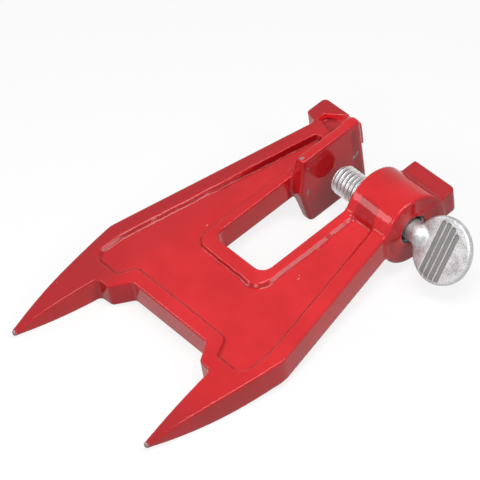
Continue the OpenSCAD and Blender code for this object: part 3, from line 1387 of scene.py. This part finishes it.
        def side(arm: Arm, end: float) -> list[Corner]:
            """Corners from the end of one arm to the notch.

            Args:
                arm: Which arm.
                end: Where the web ends along it.

            Returns:
                The corners.
            """
            shoulder = self.arm_half(self.shoulder_y) - self.rim_width
            spots = [
                (self.arm_half(end, arm) - self.rim_width, end, self.web_radius),
                (shoulder, self.shoulder_y, 0.0),
                (shoulder + self.lobe_slant, lobe, self.web_lobe_radius),
                (self.step_width / 2 + self.step_rim, lobe, self.web_radius),
                (self.notch_width / 2 + self.bay_margin, self.notch_y + self.notch_rim, self.web_radius),
            ]
            return [Corner(middle + arm.value * x, y, radius) for x, y, radius in spots]

        return Outline(side(Arm.BOSS, self.web_end_boss) + side(Arm.JAW, self.web_end_jaw)[::-1])

    def edge(self, x: Array, y: Array) -> Array:
        """Distance in plan to the frame with its blocks and without its slot.

        Args:
            x: Places across the frame.
            y: Places along the frame.

        Returns:
            The distances, negative inside.
        """
        solid = self.outer().distance(x, y)
        for block in self.blocks():
            solid = round_join(solid, block.distance(x, y), self.block_fillet)
        return round_meet(solid, -self.slot().distance(x, y), self.slot_edge)

    def recess(self, x: Array, y: Array) -> Array:
        """Depth of the web below the rims, with its uneven drafted walls.

        Args:
            x: Places across the frame.
            y: Places along the frame.

        Returns:
            The depths.
        """
        uneven = self.web_ripple.at(x, y)
        from_rim = uneven - self.web().distance(x, y)
        from_lip = uneven + self.lip().distance(x, y)
        boss_side = rise(x - self.datum.middle_x, self.lip_run_boss)
        jaw_side = rise(x - self.datum.middle_x, self.web_run_jaw)
        behind_jaw = rise(y, self.groove_run_along) * rise(x - self.slot_low_x, self.groove_run_across)
        lip_wall = self.lip_wall + (self.lip_wall_boss - self.lip_wall) * boss_side
        rim_wall = self.web_wall + (self.web_wall_jaw - self.web_wall) * jaw_side * (1 - behind_jaw)
        depth = self.web_depth + self.groove_extra * behind_jaw
        return depth * bevel(-round_meet(-from_rim / rim_wall, -from_lip / lip_wall, self.web_corner))

    def pocket(self, x: Array, y: Array) -> Array:
        """Depth of the pocket between the jaw and its strike block, with a long slope at the block.

        Args:
            x: Places across the frame.
            y: Places along the frame.

        Returns:
            The depths.
        """
        across, along = x - self.datum.middle_x, y - self.datum.strike_y
        below_top = self._beside(across, along, self.pocket_top)
        below_foot = self._beside(across, along, self.pocket_foot)
        slope = below_top / np.maximum(below_top - np.minimum(below_foot, 0), self.least_fall)
        lip_x = self.slot_low_x - self.pocket_lip
        from_rib = y - self.pocket_start - self.pocket_slant * (lip_x - x)
        steep = np.minimum(lip_x + self.pocket_lip_fall - x, across + self.pocket_side)
        steep = np.minimum(steep, from_rib)
        return self.pocket_depth * np.minimum(bevel(slope), bevel(steep / self.pocket_wall))

    @staticmethod
    def _beside(x: Array, y: Array, line: Line) -> Array:
        """How far points lie beside a line.

        Args:
            x: First coordinates.
            y: Second coordinates.
            line: Two points of the line.

        Returns:
            The distances, positive on the line's right.
        """
        start, end = line
        dx, dy = end[0] - start[0], end[1] - start[1]
        return ((x - start[0]) * dy - (y - start[1]) * dx) / math.hypot(dx, dy)

    def levels(self, x: Array, y: Array) -> tuple[Array, Array]:
        """Levels of the top and the underside of the frame.

        Args:
            x: Places across the frame.
            y: Places along the frame.

        Returns:
            The two levels.
        """
        tip = self.datum.tip_y
        upper = np.clip((tip + self.spike_top_length - y) / self.spike_top_length, 0, 1)
        lower = np.clip((tip + self.spike_under_length - y) / self.spike_under_length, 0, 1)
        tip_bottom = self.top - self.tip_drop - self.tip_thickness
        recess = self.recess(x, y)
        top = self.top - self.tip_drop * upper ** 2 - np.maximum(recess, self.pocket(x, y))
        bottom = self.bottom + (tip_bottom - self.bottom) * lower ** 2 + recess
        return top, bottom

    def distance(self, x: Array, y: Array, z: Array) -> Array:
        """Signed distance to the frame.

        Args:
            x: Places across the frame.
            y: Places along the frame.
            z: Levels.

        Returns:
            The distances, negative inside.
        """
        top, bottom = self.levels(x, y)
        edge = self.edge(x, y) + self.draft * np.abs(z - self.datum.level)
        radius = np.minimum(self.edge_radius, self.edge_share * (top - bottom))
        solid = round_meet(edge, z - top, radius)
        return round_meet(solid, bottom - z, radius)


@dataclass(frozen=True)
class Jaw:
    """The fixed jaw: an upright plate on the slot's wall."""

    plate: Plate
    above: float = 17.0
    below: float = 18.2
    front: float = 17.4
    back: float = 17.6
    back_top: float = 14.1
    back_bottom: float = 14.8
    thickness: float = 4.3
    thicker: float = 0.7
    thicker_run: Span = (10.2, 11.6)
    root_inset: float = 0.5
    back_radius: float = 6.0
    lower_radius: float = 3.0
    upper_radius: float = 2.5
    edge_radius: float = 1.1
    far_edge_radius: float = 2.0
    far_edge_run: Span = (-5.0, -1.0)
    fillet: float = 0.9

    def view(self) -> Outline:
        """The jaw's outline from the side of the screw.

        Returns:
            The outline, in Y and Z.
        """
        return Outline([
            Corner(self.front, self.above, self.upper_radius),
            Corner(-self.back_top, self.above, self.upper_radius / 2),
            Corner(-self.back, 0, self.back_radius),
            Corner(-self.back_bottom, -self.below, self.lower_radius),
            Corner(self.front, -self.below, self.lower_radius),
        ])

    def section(self) -> Outline:
        """The jaw's section, which is thickest where it meets the arm.

        Returns:
            The outline, in X and Z.
        """
        past = self.plate.past
        root = self.plate.slot_low_x - self.root_inset
        return Outline([
            Corner(0, self.above + past),
            Corner(-self.thickness, self.above + past),
            Corner(-self.thickness, self.above),
            Corner(root, self.plate.top - self.root_inset),
            Corner(root, self.plate.bottom + self.root_inset),
            Corner(-self.thickness, -self.below),
            Corner(-self.thickness, -self.below - past),
            Corner(0, -self.below - past),
        ])

    def distance(self, x: Array, y: Array, z: Array) -> Array:
        """Signed distance to the jaw.

        Args:
            x: Places across the frame.
            y: Places along the frame.
            z: Levels.

        Returns:
            The distances, negative inside.
        """
        far = rise(y - self.front, self.far_edge_run)
        radius = self.edge_radius + (self.far_edge_radius - self.edge_radius) * far
        behind = self.thicker * rise(y, self.thicker_run) * (x < -self.thickness / 2)
        return round_meet(self.view().distance(y, z), self.section().distance(x, z) - behind, radius)


@dataclass(frozen=True)
class Boss:
    """The round boss that carries the screw, and its tapped hole."""

    plate: Plate
    radius: float = 15.7
    near_edge: float = 0.8
    far_edge: float = 1.25
    fillet: float = 1.1
    hole_radius: float = 6.42
    hole_edge: float = 0.3
    thread_insets: tuple[float, float] = (0.5, 0.4)
    thread_depth: float = 0.95
    thread_slack: float = 0.02
    thread_slope: float = 1.2
    thread_cover: float = 0.25
    thread_outer_run: float = 3.0

    @property
    def start(self) -> float:
        """End of the boss at the slot, flush with the slot's wall."""
        return self.plate.slot_high_x

    @property
    def end(self) -> float:
        """End of the boss at the head of the screw."""
        return self.plate.boss_end

    def plan(self) -> Outline:
        """The boss from above, with the flank that widens to the strike block.

        Returns:
            The outline.
        """
        reach = 2 * self.radius
        right = self.plate.datum.middle_x + self.plate.strike_width / 2
        return Outline([
            Corner(self.start, -reach),
            Corner(self.end, -reach),
            Corner(self.end, self.plate.flank_start, self.plate.strike_radius / 2),
            Corner(right, self.plate.strike_back, self.plate.strike_radius / 2),
            Corner(right, reach),
            Corner(self.start, reach),
        ])

    def distance(self, x: Array, y: Array, z: Array) -> Array:
        """Signed distance to the boss, without its hole.

        Args:
            x: Places across the frame.
            y: Places along the frame.
            z: Levels.

        Returns:
            The distances, negative inside.
        """
        barrel = np.hypot(y, z) - self.radius
        edge = np.where(x > (self.start + self.end) / 2, self.far_edge, self.near_edge)
        return round_meet(barrel, self.plan().distance(x, y), edge)

    def hole(self, x: Array, y: Array, z: Array) -> Array:
        """Signed distance to the hole's own space, which starts in the slot."""
        return np.maximum(np.hypot(y, z) - self.hole_radius, self.start / 2 - x)

    def thread(self, pitch: float) -> Helix:
        """The thread in the hole, whose crests stand in the roots of the screw.

        Args:
            pitch: Its pitch.

        Returns:
            The thread.
        """
        return Helix(
            "tapped_thread",
            start=self.start + self.thread_insets[0],
            end=self.end - self.thread_insets[1],
            pitch=pitch,
            base=self.hole_radius - self.thread_slack,
            depth=-self.thread_depth,
            lead_in=(0.0, self.thread_slope),
            lead_out=(0.0, self.thread_slope),
            closing=self.hole_radius + self.thread_cover,
            outer_run=self.thread_outer_run,
            phase=0.5,
            rows_per_turn=8,
            columns=48,
        )


@dataclass(frozen=True)
class PaintedShade:
    """Where shade is painted into the casting's enamel colour.

    A run is in millimetres: it says where something begins and where it is full. A facing is a part of the
    surface's direction, and says the same of slopes. A share says how strongly it shows.
    """

    rim_run: Span = (-0.75, 0.75)
    jaw_side_run: Span = (-7.0, -19.0)
    spike_run: Span = (-12.0, -36.0)
    block_run: Span = (-3.0, 0.0)
    block_above: float = 1.0
    top_facing: Span = (0.35, 0.85)
    jaw_face: Span = (-0.5, 1.0)
    jaw_face_run: Span = (4.0, -12.0)
    front: float = -20.0
    low_run: Span = (0.0, -12.0)
    side_run: Span = (-1.5, 1.5)
    side_run_along: Span = (0.0, 4.0)
    side_facing: Span = (0.0, 0.5)
    least_share: float = 0.45
    wall_run: Span = (0.1, 0.6)
    wall_facing: Span = (0.97, 0.97 - 1 / 6)
    wall_share: float = 0.3
    groove_facing: Span = (0.2, 0.6)
    groove_top: float = 0.25
    groove_run: Span = (-32.0, -20.0)
    groove_end: float = 8.5
    groove_reach: float = 4.0
    groove_share: float = 0.5

    def painted_light(self, plate: Plate, points: Array, normals: Array) -> Array:
        """Where shade is painted for less light: the arm and face of the jaw, the spikes, the blocks and low
        down.

        Args:
            plate: The plate of the casting.
            points: Points in the plane of the plate.
            normals: The surface's directions there.

        Returns:
            0 where no shade is painted and 1 where most is.
        """
        x, y, z = points.T
        least, more = self.least_share, 1 - self.least_share
        rim = rise(plate.web().distance(x, y), self.rim_run)
        jaw_side = rise(x - plate.slot_low_x, self.jaw_side_run) * (least + more * rim)
        spikes = rise(y - plate.notch_y, self.spike_run)
        blocks = rise(y - plate.strike_back, self.block_run) * (z < plate.top + self.block_above)
        tops = np.maximum(np.maximum(jaw_side, spikes), blocks) * rise(normals[:, 2], self.top_facing)
        jaw_face = (x > self.jaw_face[0]) * (x < self.jaw_face[1]) * (y > self.front)
        jaw_face = jaw_face * (least + more * rise(z, self.jaw_face_run))
        low = rise(z - plate.datum.level, self.low_run) * (y > self.front)
        block_side = rise(x - plate.boss_end, self.side_run) * rise(y, self.side_run_along)
        block_side = block_side * rise(normals[:, 0], self.side_facing)
        return np.maximum(np.maximum(tops, jaw_face), np.maximum(low, block_side))

    def hollow_shade(self, plate: Plate, points: Array, normals: Array) -> Array:
        """Where shade is painted: along the web's walls, and most in the narrow groove behind the jaw.

        Args:
            plate: The plate of the casting.
            points: Points in the plane of the plate.
            normals: The surface's directions there.

        Returns:
            0 where it isn't, and more the deeper the painted shade.
        """
        x, y, z = points.T
        upper = z > plate.datum.level
        sunk = rise(plate.recess(x, y), self.wall_run) * upper
        walls = self.wall_share * sunk * rise(normals[:, 2], self.wall_facing)
        groove = rise(normals[:, 0], self.groove_facing) * (z < plate.top - self.groove_top) * upper
        groove = groove * rise(y, self.groove_run) * (y < self.groove_end)
        groove = self.groove_share * groove * (x < plate.slot_low_x - self.groove_reach)
        return np.maximum(walls, groove)


@dataclass
class Casting:
    """The one iron casting: frame, spikes, jaw, boss with its tapped thread, and strike blocks."""

    datum: Datum
    enamel: Enamel
    iron: BareIron
    coat: PaintedShade = PaintedShade()
    pitch: float = PITCH
    step: float = 0.65
    relief_reach: float = 2.2
    plate: Plate = field(init=False)
    jaw: Jaw = field(init=False)
    boss: Boss = field(init=False)

    def __post_init__(self) -> None:
        """Makes the parts of the casting, which share the plate's planes."""
        self.plate = Plate(self.datum)
        self.jaw = Jaw(self.plate)
        self.boss = Boss(self.plate)

    def distance(self, x: Array, y: Array, z: Array) -> Array:
        """Signed distance to the whole casting, in the plane of its plate.

        Args:
            x: Places across the frame.
            y: Places along the frame.
            z: Levels.

        Returns:
            The distances, negative inside.
        """
        solid = self.plate.distance(x, y, z)
        solid = round_join(solid, self.jaw.distance(x, y, z), self.jaw.fillet)
        solid = round_join(solid, self.boss.distance(x, y, z), self.boss.fillet)
        return round_meet(solid, -self.boss.hole(x, y, z), self.boss.hole_edge)

    def build(self) -> bpy.types.Object:
        """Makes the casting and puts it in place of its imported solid.

        Returns:
            The piece.
        """
        margin = 2 * self.step
        half = self.plate.shoulder_width / 2 + margin
        low = (self.datum.middle_x - half, self.datum.tip_y - margin, -self.jaw.below - margin)
        high = (self.datum.middle_x + half, self.datum.strike_y + margin, self.jaw.above + margin)
        solid = Sampled(self.distance, low, high, self.step)
        points, faces = solid.skin()
        iron = self.iron.build()
        skin = new_mesh("casting", laid_down(points, self.datum.tilt), faces)
        thread = self.boss.thread(self.pitch).build(iron)
        piece = joined("casting", [skin, thread], [self.enamel.build(), iron])
        normals = solid.normals(points)
        relief = solid.relief(points, faces, self.relief_reach)
        # Painted shade along the web's walls and in the groove behind the jaw goes in with the relief.
        tell(piece, "relief", np.maximum(relief, self.coat.hollow_shade(self.plate, points, normals)))
        # Painted shade where the casting gets less light.
        tell(piece, "thin_coat", self.coat.painted_light(self.plate, points, normals))
        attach(piece, Body.CASTING.value)
        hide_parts("cast_body")
        return piece


@dataclass
class ThumbScrew:
    """The zinc plated screw: a cut thread, a round neck and a flat forged head with grooves."""

    datum: Datum
    bright: Zinc
    forged: Zinc
    tip: float = 4.6
    length: float = 38.6
    thread_radius: float = 6.35
    root_radius: float = 5.15
    run_out: float = 1.8
    tip_height: float = 0.16
    pitch: float = PITCH
    neck_radius: float = 4.7
    neck_start: float = 41.6
    dome_start: float = 48.6
    dome_length: float = 5.6
    head_x: float = 61.5
    head_radius: float = 13.8
    head_thickness: float = 3.4
    head_edge: float = 0.9
    head_inset: float = 0.12
    head_ripple: Ripple = Ripple(0.05, 5.0, 11)
    head_turn: float = 49.0
    neck_fillet: float = 0.9
    groove_pitch: float = 2.65
    groove_width: float = 2.0
    groove_depth: float = 0.5
    groove_bed_edge: float = 0.12
    groove_edge: float = 0.15
    groove_skin: float = 0.1
    groove_slack: float = 0.15
    flat_margin: float = 1.3
    groove_ends: tuple[float, ...] = (10.9, 11.3, 10.9, 9.2)
    step: float = 0.27
    relief_reach: float = 0.4

    def thread(self) -> Helix:
        """The threaded shank, chamfered at its free end and run out at the neck.

        Returns:
            The thread.
        """
        depth = self.thread_radius - self.root_radius
        out = (self.thread_radius - self.neck_radius) / depth
        return Helix(
            "shank_thread",
            start=self.tip,
            end=self.tip + self.length + self.run_out,
            pitch=self.pitch,
            base=self.root_radius,
            depth=depth,
            lead_in=(self.tip_height, 1 / depth),
            lead_out=(1 - out - self.run_out * out, out),
        )

    def head_distance(self, u: Array, v: Array, w: Array) -> Array:
        """Signed distance to the neck and head, in the head's own plane.

        Args:
            u: Place along the screw, from the middle of the head.
            v: Place across the head, along its grooves.
            w: Place through its thickness.

        Returns:
            The distances.
        """
        half = self.head_thickness / 2
        rim = np.hypot(u, v) - self.head_radius + self.head_inset + np.abs(self.head_ripple.at(u, v, w))
        disc = round_meet(rim, np.abs(w) - half, self.head_edge)
        middle = (len(self.groove_ends) - 1) / 2
        for number, top in enumerate(self.groove_ends):
            across = np.abs(u - (number - middle) * self.groove_pitch)
            run = np.maximum(v - top + self.groove_width / 2, 0)
            plan = np.hypot(across, run) - self.groove_width / 2
            bed = half - self.groove_depth - np.abs(w)
            groove = round_meet(plan, bed, self.groove_bed_edge)
            disc = round_meet(disc, -groove, self.groove_edge)
        past_dome = np.maximum(u + self.head_x - self.dome_start, 0) * self.neck_radius / self.dome_length
        neck = np.sqrt(v * v + w * w + past_dome * past_dome) - self.neck_radius
        neck = np.maximum(neck, self.neck_start - self.head_x - u)
        return round_join(disc, neck, self.neck_fillet)

    def groove_share(self, points: Array) -> Array:
        """Tells the beds of the grooves from the flat of the head.

        Args:
            points: Points in the head's own plane.

        Returns:
            1 on the beds and 0 on the flat.
        """
        u, v, w = points.T
        below = self.head_thickness / 2 - self.groove_skin - np.abs(w)
        deep = np.clip(below / (self.groove_depth - self.groove_slack), 0, 1)
        return deep * (np.hypot(u, v) < self.head_radius - self.flat_margin)

    def head(self) -> tuple[bpy.types.Mesh, Array]:
        """Meshes the neck and head, turned to the head's angle.

        Returns:
            The mesh, and how hollow it is at each point.
        """
        margin = 2 * self.step
        side = self.head_radius + margin
        low = (self.neck_start - self.head_x - margin, -side, -self.neck_radius - margin)
        high = (side, side, self.neck_radius + margin)
        solid = Sampled(self.head_distance, low, high, self.step)
        points, faces = solid.skin()
        relief = solid.relief(points, faces, self.relief_reach, rounds=1)
        relief = np.maximum(relief, self.groove_share(points))
        points = points + np.array([self.head_x, 0.0, 0.0])
        points = laid_down(points, self.datum.tilt + math.radians(self.head_turn))
        return new_mesh("head", points, faces), relief

    def build(self) -> bpy.types.Object:
        """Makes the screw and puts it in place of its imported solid.

        Returns:
            The piece.
        """
        bright = self.bright.build()
        head, relief = self.head()
        thread = self.thread().build(bright)
        piece = joined("thumb_screw_forged", [head, thread], [self.forged.build(), bright])
        tell(piece, "relief", relief)
        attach(piece, Body.SCREW.value)
        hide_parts("thumb_screw")
        core = bpy.data.objects["screw_core"]
        core.data.materials.clear()
        core.data.materials.append(bright)
        return piece


@dataclass(frozen=True)
class Lamp:
    """A soft lamp aimed at the vise."""

    name: str
    place: Point
    width: float
    height: float
    power: float

    def build(self, target: Vector) -> bpy.types.Object:
        """Hangs the lamp and turns it to a target.

        Args:
            target: Where it shines, in metres.

        Returns:
            The lamp.
        """
        data = bpy.data.lights.new(self.name, "AREA")
        data.shape = "RECTANGLE"
        data.size = self.width
        data.size_y = self.height
        data.energy = self.power
        lamp = new_object(self.name, data)
        lamp.location = self.place
        lamp.rotation_euler = (target - lamp.location).to_track_quat("-Z", "Y").to_euler()
        return lamp


@dataclass(frozen=True)
class Studio:
    """A pale floor, soft lamps, a white surround and the camera."""

    camera_place: Point = (548.11, -532.833, 692.812)
    camera_turn: Point = (46.2968, 0.6232, 48.0405)
    lens: float = 193.27
    floor_half: float = 3.0
    surround: float = 0.08
    floor_colour: float = 0.97
    floor_bounce: float = 0.3
    floor_white: float = 0.8
    floor_roughness: float = 0.8
    floor_glow: float = 1.03
    sensor: float = 36.0
    sight: float = 20.0
    target: Point = (0.0, -0.03, 0.0)

    def lamps(self) -> list[Lamp]:
        """The lamps around the vise.

        Returns:
            The lamps, in metres and watts.
        """
        return [
            Lamp("left_light", (-0.292, -0.412, 0.29), 0.26, 0.16, 0.75),
            Lamp("right_light", (0.43, 0.12, 0.4), 0.18, 0.26, 0.9),
            Lamp("front_light", (0.202, -0.476, 0.385), 0.18, 0.18, 0.75),
            Lamp("top_light", (0.12, -0.08, 0.4), 0.2, 0.2, 0.95),
        ]

    @staticmethod
    def seen(graph: Graph) -> Sig:
        """Tells rays that come from the camera from light that bounces.

        Args:
            graph: The tree to build in.

        Returns:
            1 for what is seen directly, in a reflection or through something, and 0 for the rest.
        """
        names = ("Is Camera Ray", "Is Glossy Ray", "Is Transmission Ray")
        camera, glossy, through = (graph.add("ShaderNodeLightPath", output=name) for name in names)
        return camera.most(glossy).most(through)

    def floor(self) -> bpy.types.Object:
        """Lays a pale floor under the lowest point of the vise.

        Returns:
            The floor.
        """
        level = min(corner[2] for corner in cad_box) / MM
        half = self.floor_half / MM
        plan = ((-half, -half), (half, -half), (half, half), (-half, half))
        mesh = new_mesh("floor", np.array([(x, y, level) for x, y in plan]), np.array([[0, 1, 2, 3]]))
        material, graph = new_material("pale_floor")
        seen = self.seen(graph)
        colour = graph.colours(seen, opaque((self.floor_bounce,) * 3), opaque((self.floor_colour,) * 3))
        look = {"Base Color": colour, "Roughness": self.floor_roughness}
        plain = graph.add("ShaderNodeBsdfPrincipled", None, look, "BSDF")
        white = graph.add("ShaderNodeEmission", None, {"Color": opaque(WHITE), "Strength": self.floor_glow})
        shader = graph.add("ShaderNodeMixShader", None, {0: seen * self.floor_white, 1: plain, 2: white})
        graph.add("ShaderNodeOutputMaterial", None, {"Surface": shader})
        mesh.materials.append(material)
        floor = new_object("floor", mesh)
        return floor

    def world(self) -> None:
        """Makes the surround white where it is seen, and dimmer as a light."""
        world = bpy.data.worlds.new("surround")
        world.use_nodes = True
        bpy.context.scene.world = world
        graph = Graph(world.node_tree)
        strength = self.surround + (1 - self.surround) * self.seen(graph)
        light = graph.add("ShaderNodeBackground", None, {"Color": opaque(WHITE), "Strength": strength})
        graph.add("ShaderNodeOutputWorld", None, {"Surface": light})

    def camera(self) -> bpy.types.Object:
        """Sets up the camera at the photograph's viewpoint.

        Returns:
            The camera.
        """
        data = bpy.data.cameras.new("camera")
        data.lens = self.lens
        data.sensor_width = self.sensor
        data.clip_end = self.sight
        camera = new_object("camera", data)
        camera.location = Vector(self.camera_place) * MM
        camera.rotation_euler = tuple(math.radians(angle) for angle in self.camera_turn)
        bpy.context.scene.camera = camera
        return camera

    def build(self) -> None:
        """Makes the whole studio."""
        self.camera()
        self.floor()
        self.world()
        for lamp in self.lamps():
            lamp.build(Vector(self.target))
        bpy.context.scene.view_settings.view_transform = "Standard"


def main() -> None:
    """Builds every piece in order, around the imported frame."""
    logging.basicConfig(level=logging.INFO, format="%(name)s: %(message)s")
    datum = Datum.read(frame["record"])
    log.info("the vise lies at %.2f degrees", math.degrees(datum.tilt))
    Studio().build()
    casting = Casting(datum, Enamel(datum), BareIron()).build()
    log.info("%s has %d faces", casting.name, len(casting.data.polygons))
    bright = Zinc("bright_zinc", dark_radii=(5.1, 5.8))
    forged = Zinc(
        "forged_zinc",
        colour=(0.6, 0.61, 0.62),
        dull=(0.33, 0.33, 0.335),
        hollow_tone=(0.22, 0.22, 0.212),
        roughness=0.42,
        grain=0.12,
        grain_scale=2400.0,
    )
    screw = ThumbScrew(datum, bright, forged).build()
    log.info("%s has %d faces", screw.name, len(screw.data.polygons))


if __name__ == "__main__":
    main()
